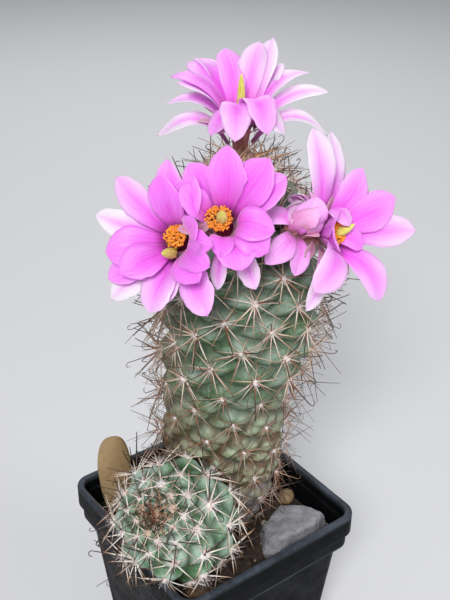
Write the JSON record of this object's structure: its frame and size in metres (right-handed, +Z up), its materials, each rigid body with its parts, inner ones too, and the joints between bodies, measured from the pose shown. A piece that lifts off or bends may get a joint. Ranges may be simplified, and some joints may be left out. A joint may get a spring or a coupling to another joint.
{
  "type": "potted mammillaria",
  "caption": "Flowering mammillaria cactus: leaning spiny stem with a round offset and pink blooms in a square black plastic pot of soil with loose stones.",
  "frame": {"origin": "centre of the pot's flat underside", "axes": "+Z up; X and Y run along the sides of the square pot; the offset leans over the corner between -X and -Y"},
  "size_m": [0.0996, 0.082, 0.2126],
  "materials": {
    "pot_plastic": "black moulded plastic, satin, dusty edges",
    "peat": "dark crumbly peat with bark and grit",
    "stem_flesh": "waxy green tubercles, olive and corky low down, pale spines",
    "offset_flesh": "waxy fresh green tubercles with pale and brown spines",
    "petal": "silky magenta pink with darker mid stripe and pale margins",
    "faded_petal": "soft pale pink, withering",
    "anther": "powdery orange pollen",
    "stigma": "moist yellow green",
    "grey_stone": "rough weathered grey stone",
    "tan_stone": "smooth matt tan stone",
    "brown_stone": "rough brown stone"
  },
  "bodies": {
    "root": {"pot": "pot_plastic", "soil": "peat", "main_stem": "stem_flesh", "offset_stem": "offset_flesh", "bloom_top": "petal", "bloom_left": "petal", "bloom_middle": "petal", "bloom_right": "petal", "bloom_closed": "faded_petal", "stamens_top": "anther", "stamens_left": "anther", "stamens_middle": "anther", "stamens_right": "anther", "stigma_top": "stigma", "stigma_left": "stigma", "stigma_middle": "stigma", "stigma_right": "stigma", "grey_stone": "grey_stone", "tan_pebble": "tan_stone", "upright_pebble": "tan_stone", "brown_pebble": "brown_stone"}
  },
  "joints": []
}
